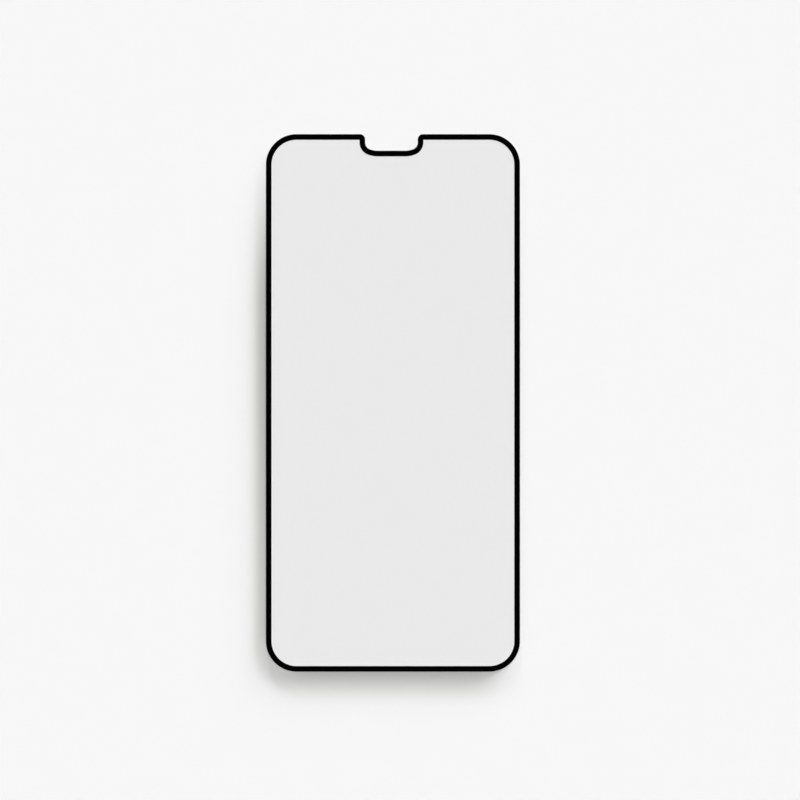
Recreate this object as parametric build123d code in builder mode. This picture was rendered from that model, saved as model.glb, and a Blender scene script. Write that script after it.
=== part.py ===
from build123d import *

import os
from math import cos, radians, sin

# A full-cover screen protector for a phone: a sheet of tempered glass with a black border printed
# round its back. Millimetres. It lies on its printed back with the front face up, +Y points to the
# notch, and the origin is the middle of the outline on the plane that the print rests on.

# Outline of the sheet
sheet_width = 69.0
sheet_length = 146.0
corner_radius = 8.3

# Notch in the top edge for the earpiece and front camera
notch_width = 14.3
notch_depth = 4.5
notch_offset = -0.4
lip_radius = 1.4

# Each lower corner of the notch is a tight arc off the wall that opens into a wide arc to the floor
wall_arc_radius = 1.95
wall_arc_turn = 68.0
floor_arc_radius = 5.75

# Glass, with a curved front edge and a small chamfer round the back
glass_thickness = 0.33
edge_curve_width = 0.8
edge_curve_drop = 0.15
back_chamfer = 0.03

# Printed border, from the back chamfer inwards, its width taken from the outline
border_width = 1.5
ink_thickness = 0.02

# How far a cutting profile reaches past the surface that it cuts
cut_past = 1.0

# Run and height of a lower corner of the notch, and the straight lengths that are left beside it
corner_run = (
    wall_arc_radius * (1 - cos(radians(wall_arc_turn)))
    + floor_arc_radius * cos(radians(wall_arc_turn))
)
corner_rise = (
    wall_arc_radius * sin(radians(wall_arc_turn))
    + floor_arc_radius * (1 - sin(radians(wall_arc_turn)))
)
half_floor = notch_width / 2 - corner_run
straight_wall = notch_depth - corner_rise

# Notch, drawn with the top edge of the sheet on the X axis
with BuildSketch() as notch:
    with BuildLine():
        floor = Line((0, -notch_depth), (half_floor, -notch_depth))
        wide_arc = JernArc(floor @ 1, floor % 1, floor_arc_radius, 90 - wall_arc_turn)
        tight_arc = JernArc(wide_arc @ 1, wide_arc % 1, wall_arc_radius, wall_arc_turn)
        wall = Line(tight_arc @ 1, (notch_width / 2, cut_past))
        Line(wall @ 1, (0, cut_past))
        mirror(about=Plane.YZ)
    make_face()

# Outline of the sheet, with the lips of the notch rounded
notch_mouth = (notch_offset, sheet_length / 2)
with BuildSketch() as outline:
    RectangleRounded(sheet_width, sheet_length, corner_radius)
    with Locations(notch_mouth):
        add(notch.sketch, mode=Mode.SUBTRACT)
    lips = outline.vertices().group_by(Axis.Y)[-1].sort_by_distance(notch_mouth)[:2]
    fillet(lips, min(lip_radius, straight_wall))

os.makedirs("parts", exist_ok=True)

# Glass sheet
with BuildPart() as glass_sheet:
    with BuildSketch(Plane.XY.offset(ink_thickness)):
        add(outline.sketch)
    extrude(amount=glass_thickness)
    front = glass_sheet.faces().sort_by(Axis.Z)[-1]
    back = glass_sheet.faces().sort_by(Axis.Z)[0]
    chamfer(back.edges(), back_chamfer)
    rim = front.outer_wire()
    inwards = Vector(0, 0, 1).cross(rim % 0)
    with BuildSketch(Plane(rim @ 0, x_dir=inwards, z_dir=rim % 0)) as edge_curve:
        with BuildLine():
            curve = TangentArc((edge_curve_width, 0), (0, -edge_curve_drop), tangent=(-1, 0))
            Polyline(
                curve @ 1,
                (-cut_past, -edge_curve_drop),
                (-cut_past, cut_past),
                (edge_curve_width, cut_past),
                curve @ 0,
            )
        make_face()
    sweep(path=rim, mode=Mode.SUBTRACT)

glass_sheet.part.label = "glass_sheet"
export_step(glass_sheet.part, "parts/glass_sheet.step")

# Black border
with BuildPart() as black_border:
    with BuildSketch():
        offset(outline.sketch, amount=-back_chamfer, mode=Mode.ADD)
        offset(outline.sketch, amount=-border_width, mode=Mode.SUBTRACT)
    extrude(amount=ink_thickness)

black_border.part.label = "black_border"
export_step(black_border.part, "parts/black_border.step")
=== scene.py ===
from math import atan2, cos, pi, radians, sin

import bpy
from mathutils import Euler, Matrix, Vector


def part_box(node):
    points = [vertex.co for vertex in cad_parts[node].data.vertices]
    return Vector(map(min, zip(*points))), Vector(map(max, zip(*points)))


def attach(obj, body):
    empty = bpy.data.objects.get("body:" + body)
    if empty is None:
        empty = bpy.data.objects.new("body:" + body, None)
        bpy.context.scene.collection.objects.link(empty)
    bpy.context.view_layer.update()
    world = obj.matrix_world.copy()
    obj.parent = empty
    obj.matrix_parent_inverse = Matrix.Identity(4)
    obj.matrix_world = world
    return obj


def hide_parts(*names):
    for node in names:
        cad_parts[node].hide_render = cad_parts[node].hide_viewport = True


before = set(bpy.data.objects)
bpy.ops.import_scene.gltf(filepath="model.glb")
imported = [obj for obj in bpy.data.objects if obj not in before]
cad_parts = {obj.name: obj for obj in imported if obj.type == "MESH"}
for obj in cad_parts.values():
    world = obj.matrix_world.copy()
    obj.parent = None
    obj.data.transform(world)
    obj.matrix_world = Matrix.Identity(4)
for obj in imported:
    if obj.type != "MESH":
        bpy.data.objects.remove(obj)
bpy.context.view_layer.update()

# The sheet lies on its printed back with the front face up, and +Y points to the notch.
MM = 0.001
GLASS_LOW, GLASS_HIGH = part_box("glass_sheet")
INK_LOW, INK_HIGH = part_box("black_border")
SHEET_WIDTH = GLASS_HIGH.x - GLASS_LOW.x
SHEET_LENGTH = GLASS_HIGH.y - GLASS_LOW.y

# Outline
QUARTER_TURN = pi / 2
CORNER_RADIUS = 8.3 * MM
NOTCH_WIDTH = 14.3 * MM
NOTCH_DEPTH = 4.5 * MM
NOTCH_OFFSET = -0.4 * MM
LIP_RADIUS = 1.4 * MM
WALL_ARC_RADIUS = 1.95 * MM
WALL_ARC_TURN = radians(68)
FLOOR_ARC_RADIUS = 5.75 * MM
FLOOR_ARC_TURN = QUARTER_TURN - WALL_ARC_TURN

# Edge of the glass: a curve round the front, a straight land below it, a chamfer round the back
EDGE_CURVE_WIDTH = 0.8 * MM
EDGE_CURVE_DROP = 0.15 * MM
EDGE_CURVE_STEPS = 10
BACK_CHAMFER = 0.03 * MM
FLAT_MARGIN = 0.05 * MM

# Printed border, and how far it is sunk into the glass so that no air shows between them
BORDER_WIDTH = 1.5 * MM
INK_BOND = 0.002 * MM

# Mesh: how much of an arc one edge spans, how close two points are merged, the sharpest bend that is
# shaded smooth, and how upright the normal of a flat face is at least
ARC_STEP = radians(2.5)
MERGE_DISTANCE = 0.001 * MM
SMOOTH_BEND = radians(30)
FLAT = 0.9999

# The photograph's frame, the sheet's edges in it, and a camera that sees it so
FRAME_PIXELS = 800
SHEET_LEFT_PX = 265.98
SHEET_RIGHT_PX = 519.87
SHEET_TOP_PX = 134.3
SHEET_BOTTOM_PX = 671.5
LENS = 85.0
SENSOR = 36.0
CLIP_START = 10 * MM

# Glass, and how much light a flat face of it lets through
GLASS_IOR = 1.5
GLASS_COLOUR = (1, 1, 1, 1)
EDGE_COLOUR = (0.85, 0.93, 0.9, 1)
FACE_PASSES = 0.975

# Ink
INK_COLOUR = (0.0008, 0.0008, 0.0008, 1)
INK_RELIEF = 0.002 * MM
RELIEF_STRENGTH = 0.4

# Grains to the metre along X, Y and Z, with the least and the most roughness of each finish
WIPE_MARKS = (60, 900, 60)
WIPED_ROUGHNESS = (0.0, 0.02)
EDGE_GRAIN = (4000, 4000, 4000)
EDGE_ROUGHNESS = (0.05, 0.12)
INK_GRAIN = (9000, 9000, 9000)
BONDED_ROUGHNESS = (0.5, 0.7)
BARE_ROUGHNESS = (0.4, 0.6)

# Noise that every grain is made from, and the span of it that is spread from least to most
NOISE_DETAIL = 3
NOISE_LOW = 0.3
NOISE_HIGH = 0.7

# Along the sheet, where the shade beside it is full and where it has gone, and how much light the edge
# lets in at the end away from the notch
SHADE_FULL = 27 * MM
SHADE_GONE = 77 * MM
END_PASSES = 0.15

# How much light the edge would let in at a corner of the sheet's box, and how far off that has faded out
CORNER_PASSES = 0.35
CORNER_REACH = 22 * MM

# The floor lies just under the glass, so the thin print is sunk in it
FLOOR_COLOUR = (0.93, 0.93, 0.93, 1)
FLOOR_SIZE = 30.0
FLOOR_CLEARANCE = 0.002 * MM

# Studio walls: how bright they are at each elevation, with a paler strip half-way up to a dark ceiling
WALL_TONES = ((0, 0.93), (5, 0.85), (16, 0.3), (27, 0.7), (34, 0.7), (46, 0))

# Lamps: azimuth, elevation and width in degrees, share of a white floor's light, and colour. The colours
# make white together, so only the shade of the cool low lamps is a little warm.
COOL = (1, 1, 1.04)
WARM = (1, 1, 0.84)
KEYS = (
    ("top_key", -5, 2.2, 1.5, 0.1, COOL),
    ("upper_key", 10, 2.6, 1.5, 0.05, COOL),
    ("low_key", 30, 2.2, 3.5, 0.18, COOL),
    ("side_key", 50, 2.6, 3.5, 0.14, COOL),
    ("near_key", 50, 4, 6.5, 0.13, COOL),
    ("high_key", 35, 60, 5, 0.15, WARM),
)


def select_faces(piece, wanted):
    """In edit mode, selects only the faces that wanted(face) says yes to."""
    bpy.ops.mesh.select_mode(type="FACE")
    bpy.ops.mesh.select_all(action="DESELECT")
    bpy.ops.object.mode_set(mode="OBJECT")
    for face in piece.data.polygons:
        face.select = wanted(face)
    bpy.ops.object.mode_set(mode="EDIT")


def select_points(piece, wanted):
    """In edit mode, selects only the vertices that wanted(place) says yes to."""
    bpy.ops.mesh.select_mode(type="VERT")
    bpy.ops.mesh.select_all(action="DESELECT")
    bpy.ops.object.mode_set(mode="OBJECT")
    for point in piece.data.vertices:
        point.select = wanted(point.co)
    bpy.ops.object.mode_set(mode="EDIT")


class Pen:
    """Draws an outline of edges: it draws on from the one vertex that is selected."""

    def __init__(self, place, heading):
        self.place = Vector(place)
        self.heading = heading

    def left(self):
        return Vector((-sin(self.heading), cos(self.heading), 0))

    def run(self, length):
        """A straight edge ahead."""
        step = Vector((cos(self.heading), sin(self.heading), 0)) * length
        bpy.ops.mesh.extrude_region_move(TRANSFORM_OT_translate={"value": step})
        self.place = self.place + step

    def turn(self, radius, angle):
        """An arc, to the left for a positive angle. Spin counts its angle the other way."""
        reach = radius if angle > 0 else -radius
        centre = self.place + self.left() * reach
        steps = round(abs(angle) / ARC_STEP)
        bpy.ops.mesh.spin(steps=steps, angle=-angle, center=centre, axis=(0, 0, 1))
        self.heading += angle
        self.place = centre - self.left() * reach


def draw_sheet(name, height):
    """A new piece in edit mode: the sheet's outline as one flat face, drawn anticlockwise."""
    bpy.ops.object.select_all(action="DESELECT")
    bpy.ops.mesh.primitive_plane_add(size=SHEET_WIDTH)
    piece = bpy.context.object
    piece.name = name
    piece.data.name = name
    start = Vector((CORNER_RADIUS - SHEET_WIDTH / 2, -SHEET_LENGTH / 2, height))
    bpy.ops.object.mode_set(mode="EDIT")
    bpy.ops.mesh.select_mode(type="VERT")
    bpy.ops.mesh.select_all(action="SELECT")
    bpy.ops.mesh.merge(type="CENTER")
    bpy.ops.transform.translate(value=start)

    corner_run = (
        WALL_ARC_RADIUS * (1 - cos(WALL_ARC_TURN)) + FLOOR_ARC_RADIUS * cos(WALL_ARC_TURN)
    )
    corner_rise = (
        WALL_ARC_RADIUS * sin(WALL_ARC_TURN) + FLOOR_ARC_RADIUS * (1 - sin(WALL_ARC_TURN))
    )
    straight_wall = NOTCH_DEPTH - corner_rise - LIP_RADIUS
    half_width = SHEET_WIDTH / 2 - CORNER_RADIUS
    half_mouth = NOTCH_WIDTH / 2 + LIP_RADIUS

    pen = Pen(start, 0)
    pen.run(2 * half_width)
    pen.turn(CORNER_RADIUS, QUARTER_TURN)
    pen.run(SHEET_LENGTH - 2 * CORNER_RADIUS)
    pen.turn(CORNER_RADIUS, QUARTER_TURN)
    pen.run(half_width - half_mouth - NOTCH_OFFSET)
    pen.turn(LIP_RADIUS, QUARTER_TURN)
    pen.run(straight_wall)
    pen.turn(WALL_ARC_RADIUS, -WALL_ARC_TURN)
    pen.turn(FLOOR_ARC_RADIUS, -FLOOR_ARC_TURN)
    pen.run(NOTCH_WIDTH - 2 * corner_run)
    pen.turn(FLOOR_ARC_RADIUS, -FLOOR_ARC_TURN)
    pen.turn(WALL_ARC_RADIUS, -WALL_ARC_TURN)
    pen.run(straight_wall)
    pen.turn(LIP_RADIUS, QUARTER_TURN)
    pen.run(half_width - half_mouth + NOTCH_OFFSET)
    pen.turn(CORNER_RADIUS, QUARTER_TURN)
    pen.run(SHEET_LENGTH - 2 * CORNER_RADIUS)
    pen.turn(CORNER_RADIUS, QUARTER_TURN)

    bpy.ops.mesh.select_all(action="SELECT")
    bpy.ops.mesh.remove_doubles(threshold=MERGE_DISTANCE)
    bpy.ops.mesh.edge_face_add()
    return piece


def close_piece(piece):
    """Merges what is double, turns the faces outwards and smooths the curves."""
    bpy.ops.mesh.select_all(action="SELECT")
    bpy.ops.mesh.remove_doubles(threshold=MERGE_DISTANCE)
    bpy.ops.mesh.normals_make_consistent(inside=False)
    bpy.ops.mesh.select_all(action="DESELECT")
    bpy.ops.object.mode_set(mode="OBJECT")
    bpy.ops.object.shade_smooth_by_angle(angle=SMOOTH_BEND)
    normals = piece.modifiers.new("flat_faces_first", "WEIGHTED_NORMAL")
    normals.keep_sharp = True
    bpy.ops.object.modifier_apply(modifier=normals.name)


def make_glass():
    """The glass: a land round the outline, the front edge curved in, the back edge chamfered."""
    land_low = GLASS_LOW.z + BACK_CHAMFER
    land_high = GLASS_HIGH.z - EDGE_CURVE_DROP
    glass = draw_sheet("glass", land_low)
    bpy.ops.mesh.extrude_region_move(
        TRANSFORM_OT_translate={"value": (0, 0, land_high - land_low)}
    )
    curve_radius = (EDGE_CURVE_WIDTH**2 + EDGE_CURVE_DROP**2) / (2 * EDGE_CURVE_DROP)
    sweep = atan2(EDGE_CURVE_WIDTH, curve_radius - EDGE_CURVE_DROP)
    angles = [sweep * (1 - i / EDGE_CURVE_STEPS) for i in range(EDGE_CURVE_STEPS + 1)]
    for low, high in zip(angles, angles[1:]):
        bpy.ops.mesh.inset(
            thickness=curve_radius * (sin(low) - sin(high)),
            depth=curve_radius * (cos(high) - cos(low)),
        )
    bpy.ops.mesh.inset(thickness=FLAT_MARGIN)
    select_faces(glass, lambda face: face.normal.z < -FLAT)
    bpy.ops.mesh.inset(thickness=BACK_CHAMFER, depth=BACK_CHAMFER)
    bpy.ops.mesh.inset(thickness=FLAT_MARGIN)
    close_piece(glass)
    return glass


def make_border():
    """The printed border: a flat ring from the chamfer inwards, as thick as the ink."""
    border = draw_sheet("border", INK_LOW.z)
    bpy.ops.mesh.select_mode(type="FACE")
    bpy.ops.mesh.inset(thickness=BACK_CHAMFER)
    bpy.ops.mesh.select_all(action="INVERT")
    bpy.ops.mesh.delete(type="FACE")
    bpy.ops.mesh.select_all(action="SELECT")
    bpy.ops.mesh.inset(thickness=BORDER_WIDTH - BACK_CHAMFER)
    bpy.ops.mesh.delete(type="FACE")
    for side in (-1, 1):
        square_lip(border, side)
    bpy.ops.mesh.select_all(action="SELECT")
    bpy.ops.mesh.extrude_region_move(
        TRANSFORM_OT_translate={"value": (0, 0, INK_HIGH.z - INK_LOW.z + INK_BOND)}
    )
    close_piece(border)
    return border


def square_lip(border, side):
    """The border is wider than a lip's radius, so its inner line has a sharp corner there."""
    corner = Vector(
        (
            NOTCH_OFFSET + side * (NOTCH_WIDTH / 2 + BORDER_WIDTH),
            SHEET_LENGTH / 2 - BORDER_WIDTH,
            INK_LOW.z,
        )
    )
    overlap = BORDER_WIDTH - LIP_RADIUS
    select_points(border, lambda place: (place - corner).length < 2 * overlap)
    bpy.context.scene.cursor.location = corner
    bpy.ops.mesh.merge(type="CURSOR")


def material_with_output(name):
    """A new node material, empty but for its output."""
    material = bpy.data.materials.new(name)
    material.use_nodes = True
    material.node_tree.nodes.clear()
    return material, material.node_tree.nodes.new("ShaderNodeOutputMaterial")


def link_all(tree, pairs):
    """Links sockets, each pair from an output to an input."""
    for source, target in pairs:
        tree.links.new(source, target)


def make_grain():
    """Node group: an uneven finish, as a roughness between two values and as a height."""
    group = bpy.data.node_groups.new("fine_grain", "ShaderNodeTree")
    for name, kind in (
        ("Vector", "NodeSocketVector"),
        ("Least", "NodeSocketFloat"),
        ("Most", "NodeSocketFloat"),
    ):
        group.interface.new_socket(name, in_out="INPUT", socket_type=kind)
    for name in ("Roughness", "Height"):
        group.interface.new_socket(name, in_out="OUTPUT", socket_type="NodeSocketFloat")
    given = group.nodes.new("NodeGroupInput")
    result = group.nodes.new("NodeGroupOutput")
    noise = group.nodes.new("ShaderNodeTexNoise")
    noise.inputs["Scale"].default_value = 1
    noise.inputs["Detail"].default_value = NOISE_DETAIL
    spread = group.nodes.new("ShaderNodeMapRange")
    spread.inputs["From Min"].default_value = NOISE_LOW
    spread.inputs["From Max"].default_value = NOISE_HIGH
    link_all(
        group,
        [
            (given.outputs["Vector"], noise.inputs["Vector"]),
            (noise.outputs["Fac"], spread.inputs["Value"]),
            (given.outputs["Least"], spread.inputs["To Min"]),
            (given.outputs["Most"], spread.inputs["To Max"]),
            (spread.outputs["Result"], result.inputs["Roughness"]),
            (noise.outputs["Fac"], result.inputs["Height"]),
        ],
    )
    return group


def add_grain(material, shader, group, per_metre, roughness):
    """Gives a shader the uneven finish, with so many grains to the metre along X, Y and Z."""
    least, most = roughness
    nodes = material.node_tree.nodes
    place = nodes.new("ShaderNodeTexCoord")
    stretch = nodes.new("ShaderNodeMapping")
    stretch.inputs["Scale"].default_value = per_metre
    grain = nodes.new("ShaderNodeGroup")
    grain.node_tree = group
    grain.inputs["Least"].default_value = least
    grain.inputs["Most"].default_value = most
    link_all(
        material.node_tree,
        [
            (place.outputs["Object"], stretch.inputs["Vector"]),
            (stretch.outputs["Vector"], grain.inputs["Vector"]),
            (grain.outputs["Roughness"], shader.inputs["Roughness"]),
        ],
    )
    return grain


def add_glass_shader(material, colour):
    """A glass shader of this colour."""
    shader = material.node_tree.nodes.new("ShaderNodeBsdfPrincipled")
    shader.inputs["Base Color"].default_value = colour
    shader.inputs["IOR"].default_value = GLASS_IOR
    shader.inputs["Transmission Weight"].default_value = 1
    return shader


def let_light_through(material, surface, stand_in, output):
    """Puts a stand-in for the surface in the way of light from the lamps and from the floor."""
    path = material.node_tree.nodes.new("ShaderNodeLightPath")
    for ray in ("Is Shadow Ray", "Is Diffuse Ray"):
        mix = material.node_tree.nodes.new("ShaderNodeMixShader")
        link_all(
            material.node_tree,
            [
                (path.outputs[ray], mix.inputs["Fac"]),
                (surface, mix.inputs[1]),
                (stand_in.outputs["BSDF"], mix.inputs[2]),
            ],
        )
        surface = mix.outputs["Shader"]
    link_all(material.node_tree, [(surface, output.inputs["Surface"])])


def polished_glass(group):
    """Clear polished glass with the faintest wiping marks, which lets light through to the floor."""
    material, output = material_with_output("polished_glass")
    shader = add_glass_shader(material, GLASS_COLOUR)
    add_grain(material, shader, group, WIPE_MARKS, WIPED_ROUGHNESS)
    stand_in = material.node_tree.nodes.new("ShaderNodeBsdfTransparent")
    stand_in.inputs["Color"].default_value = (FACE_PASSES, FACE_PASSES, FACE_PASSES, 1)
    let_light_through(material, shader.outputs["BSDF"], stand_in, output)
    return material


def add_ease(tree, value, near, far, at_near, at_far):
    """A number that eases from one level to another as a value goes from near to far."""
    ease = tree.nodes.new("ShaderNodeMapRange")
    ease.interpolation_type = "SMOOTHSTEP"
    ease.inputs["From Min"].default_value = near
    ease.inputs["From Max"].default_value = far
    ease.inputs["To Min"].default_value = at_near
    ease.inputs["To Max"].default_value = at_far
    tree.links.new(value, ease.inputs["Value"])
    return ease.outputs["Result"]


def edge_shade(material):
    """Stands in for the edge. Light leaves the sheet through it, but hardly comes in: that is the shade.

    The shade beside the sheet fades out towards the notch and is weaker at the other end and at the
    corners, where the edge lets light in as well.
    """
    tree = material.node_tree
    place = tree.nodes.new("ShaderNodeTexCoord")
    split = tree.nodes.new("ShaderNodeSeparateXYZ")
    folded = tree.nodes.new("ShaderNodeVectorMath")
    folded.operation = "ABSOLUTE"
    corner = tree.nodes.new("ShaderNodeVectorMath")
    corner.operation = "DISTANCE"
    corner.inputs[1].default_value = (SHEET_WIDTH / 2, SHEET_LENGTH / 2, 0)
    side = tree.nodes.new("ShaderNodeNewGeometry")
    link_all(
        tree,
        [
            (place.outputs["Object"], split.inputs["Vector"]),
            (place.outputs["Object"], folded.inputs[0]),
            (folded.outputs["Vector"], corner.inputs[0]),
        ],
    )
    along = split.outputs["Y"]
    from_corner = corner.outputs["Value"]
    passes = side.outputs["Backfacing"]
    for comes_in in (
        add_ease(tree, along, SHADE_FULL, SHADE_GONE, 0, 1),
        add_ease(tree, along, -SHEET_LENGTH / 2, SHADE_FULL, END_PASSES, 0),
        add_ease(tree, from_corner, 0, CORNER_REACH, CORNER_PASSES, 0),
    ):
        most = tree.nodes.new("ShaderNodeMath")
        most.operation = "MAXIMUM"
        link_all(tree, [(passes, most.inputs[0]), (comes_in, most.inputs[1])])
        passes = most.outputs["Value"]
    dimmed = tree.nodes.new("ShaderNodeMath")
    dimmed.operation = "MULTIPLY"
    dimmed.inputs[1].default_value = FACE_PASSES
    stand_in = tree.nodes.new("ShaderNodeBsdfTransparent")
    link_all(tree, [(passes, dimmed.inputs[0]), (dimmed.outputs["Value"], stand_in.inputs["Color"])])
    return stand_in


def ground_edge(group):
    """The edge, ground and a little green, with ink over the chamfer. It casts the sheet's shade."""
    material, output = material_with_output("ground_edge")
    glass_shader = add_glass_shader(material, EDGE_COLOUR)
    add_grain(material, glass_shader, group, EDGE_GRAIN, EDGE_ROUGHNESS)
    place = material.node_tree.nodes.new("ShaderNodeTexCoord")
    split = material.node_tree.nodes.new("ShaderNodeSeparateXYZ")
    printed = material.node_tree.nodes.new("ShaderNodeMath")
    printed.operation = "LESS_THAN"
    printed.inputs[1].default_value = GLASS_LOW.z + BACK_CHAMFER
    mix = material.node_tree.nodes.new("ShaderNodeMixShader")
    link_all(
        material.node_tree,
        [
            (place.outputs["Object"], split.inputs["Vector"]),
            (split.outputs["Z"], printed.inputs[0]),
            (printed.outputs["Value"], mix.inputs["Fac"]),
            (glass_shader.outputs["BSDF"], mix.inputs[1]),
            (add_bonded_shader(material, group).outputs["BSDF"], mix.inputs[2]),
        ],
    )
    let_light_through(material, mix.outputs["Shader"], edge_shade(material), output)
    return material


def add_ink_shader(material):
    """Opaque black."""
    shader = material.node_tree.nodes.new("ShaderNodeBsdfPrincipled")
    shader.inputs["Base Color"].default_value = INK_COLOUR
    return shader


def add_bonded_shader(material, group):
    """Ink where it is bonded to the glass, so that nothing is left to shine."""
    shader = add_ink_shader(material)
    shader.inputs["Specular IOR Level"].default_value = 0
    add_grain(material, shader, group, INK_GRAIN, BONDED_ROUGHNESS)
    return shader


def bonded_ink(group):
    """The face of the ink that is bonded to the glass."""
    material, output = material_with_output("bonded_ink")
    shader = add_bonded_shader(material, group)
    link_all(material.node_tree, [(shader.outputs["BSDF"], output.inputs["Surface"])])
    return material


def bare_ink(group):
    """The satin back of the ink, with the fine grain of the printing screen."""
    material, output = material_with_output("bare_ink")
    shader = add_ink_shader(material)
    grain = add_grain(material, shader, group, INK_GRAIN, BARE_ROUGHNESS)
    bump = material.node_tree.nodes.new("ShaderNodeBump")
    bump.inputs["Strength"].default_value = RELIEF_STRENGTH
    bump.inputs["Distance"].default_value = INK_RELIEF
    link_all(
        material.node_tree,
        [
            (grain.outputs["Height"], bump.inputs["Height"]),
            (bump.outputs["Normal"], shader.inputs["Normal"]),
            (shader.outputs["BSDF"], output.inputs["Surface"]),
        ],
    )
    return material


def dress(piece, first, second, takes_second):
    """Gives a piece two materials, the second on the faces that takes_second(face) says yes to."""
    piece.data.materials.append(first)
    piece.data.materials.append(second)
    for face in piece.data.polygons:
        face.material_index = int(takes_second(face))


def lay_floor():
    """A plain pale floor under the sheet."""
    bpy.ops.object.select_all(action="DESELECT")
    bpy.ops.mesh.primitive_plane_add(
        size=FLOOR_SIZE, location=(0, 0, INK_HIGH.z - FLOOR_CLEARANCE)
    )
    floor = bpy.context.object
    floor.name = "floor"
    material, output = material_with_output("pale_floor")
    shader = material.node_tree.nodes.new("ShaderNodeBsdfDiffuse")
    shader.inputs["Color"].default_value = FLOOR_COLOUR
    link_all(material.node_tree, [(shader.outputs["BSDF"], output.inputs["Surface"])])
    floor.data.materials.append(material)


def light_world():
    """Walls all round, palest at the floor, and a dark ceiling that the glass reflects straight up."""
    world = bpy.data.worlds.new("studio")
    bpy.context.scene.world = world
    world.use_nodes = True
    nodes = world.node_tree.nodes
    nodes.clear()
    output = nodes.new("ShaderNodeOutputWorld")
    background = nodes.new("ShaderNodeBackground")
    place = nodes.new("ShaderNodeTexCoord")
    split = nodes.new("ShaderNodeSeparateXYZ")
    ramp = nodes.new("ShaderNodeValToRGB")
    stops = ramp.color_ramp.elements
    while len(stops) < len(WALL_TONES):
        stops.new(0)
    for stop, (elevation, tone) in zip(stops, WALL_TONES):
        stop.position = sin(radians(elevation))
        stop.color = (tone, tone, tone, 1)
    link_all(
        world.node_tree,
        [
            (place.outputs["Generated"], split.inputs["Vector"]),
            (split.outputs["Z"], ramp.inputs["Fac"]),
            (ramp.outputs["Color"], background.inputs["Color"]),
            (background.outputs["Background"], output.inputs["Surface"]),
        ],
    )


def add_key(name, azimuth, elevation, width, share, colour):
    """A far lamp that gives this share of a white floor's light. Its azimuth is from +Y towards +X.

    It isn't seen in the glass, which shows the walls and the floor alone.
    """
    towards = Vector((0, cos(elevation), sin(elevation)))
    towards.rotate(Euler((0, 0, -azimuth)))
    lamp = bpy.data.lights.new(name, "SUN")
    lamp.angle = width
    lamp.energy = share * pi / sin(elevation)
    lamp.color = colour
    key = bpy.data.objects.new(name, lamp)
    key.rotation_euler = towards.to_track_quat("Z", "Y").to_euler()
    key.visible_glossy = False
    key.visible_transmission = False
    bpy.context.scene.collection.objects.link(key)


def set_camera():
    """Looks straight down, with the sheet where it is in the photograph's frame."""
    pixels_per_metre = (SHEET_RIGHT_PX - SHEET_LEFT_PX) / SHEET_WIDTH
    aim_x = (FRAME_PIXELS - SHEET_LEFT_PX - SHEET_RIGHT_PX) / 2 / pixels_per_metre
    aim_y = (SHEET_TOP_PX + SHEET_BOTTOM_PX - FRAME_PIXELS) / 2 / pixels_per_metre
    lens = bpy.data.cameras.new("camera")
    lens.lens = LENS
    lens.sensor_width = SENSOR
    lens.clip_start = CLIP_START
    camera = bpy.data.objects.new("camera", lens)
    distance = FRAME_PIXELS / pixels_per_metre * LENS / SENSOR
    camera.location = (aim_x, aim_y, distance)
    bpy.context.scene.collection.objects.link(camera)
    bpy.context.scene.camera = camera


grain = make_grain()
glass = make_glass()
border = make_border()
dress(glass, polished_glass(grain), ground_edge(grain), lambda face: abs(face.normal.z) < FLAT)
dress(border, bare_ink(grain), bonded_ink(grain), lambda face: face.normal.z > FLAT)
for piece, node, slot in (
    (glass, "glass_sheet", "clear_glass"),
    (border, "black_border", "black_ink"),
):
    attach(piece, "root")
    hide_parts(node)

lay_floor()
light_world()
for name, azimuth, elevation, width, share, colour in KEYS:
    add_key(name, radians(azimuth), radians(elevation), radians(width), share, colour)
set_camera()
bpy.context.scene.view_settings.view_transform = "Standard"
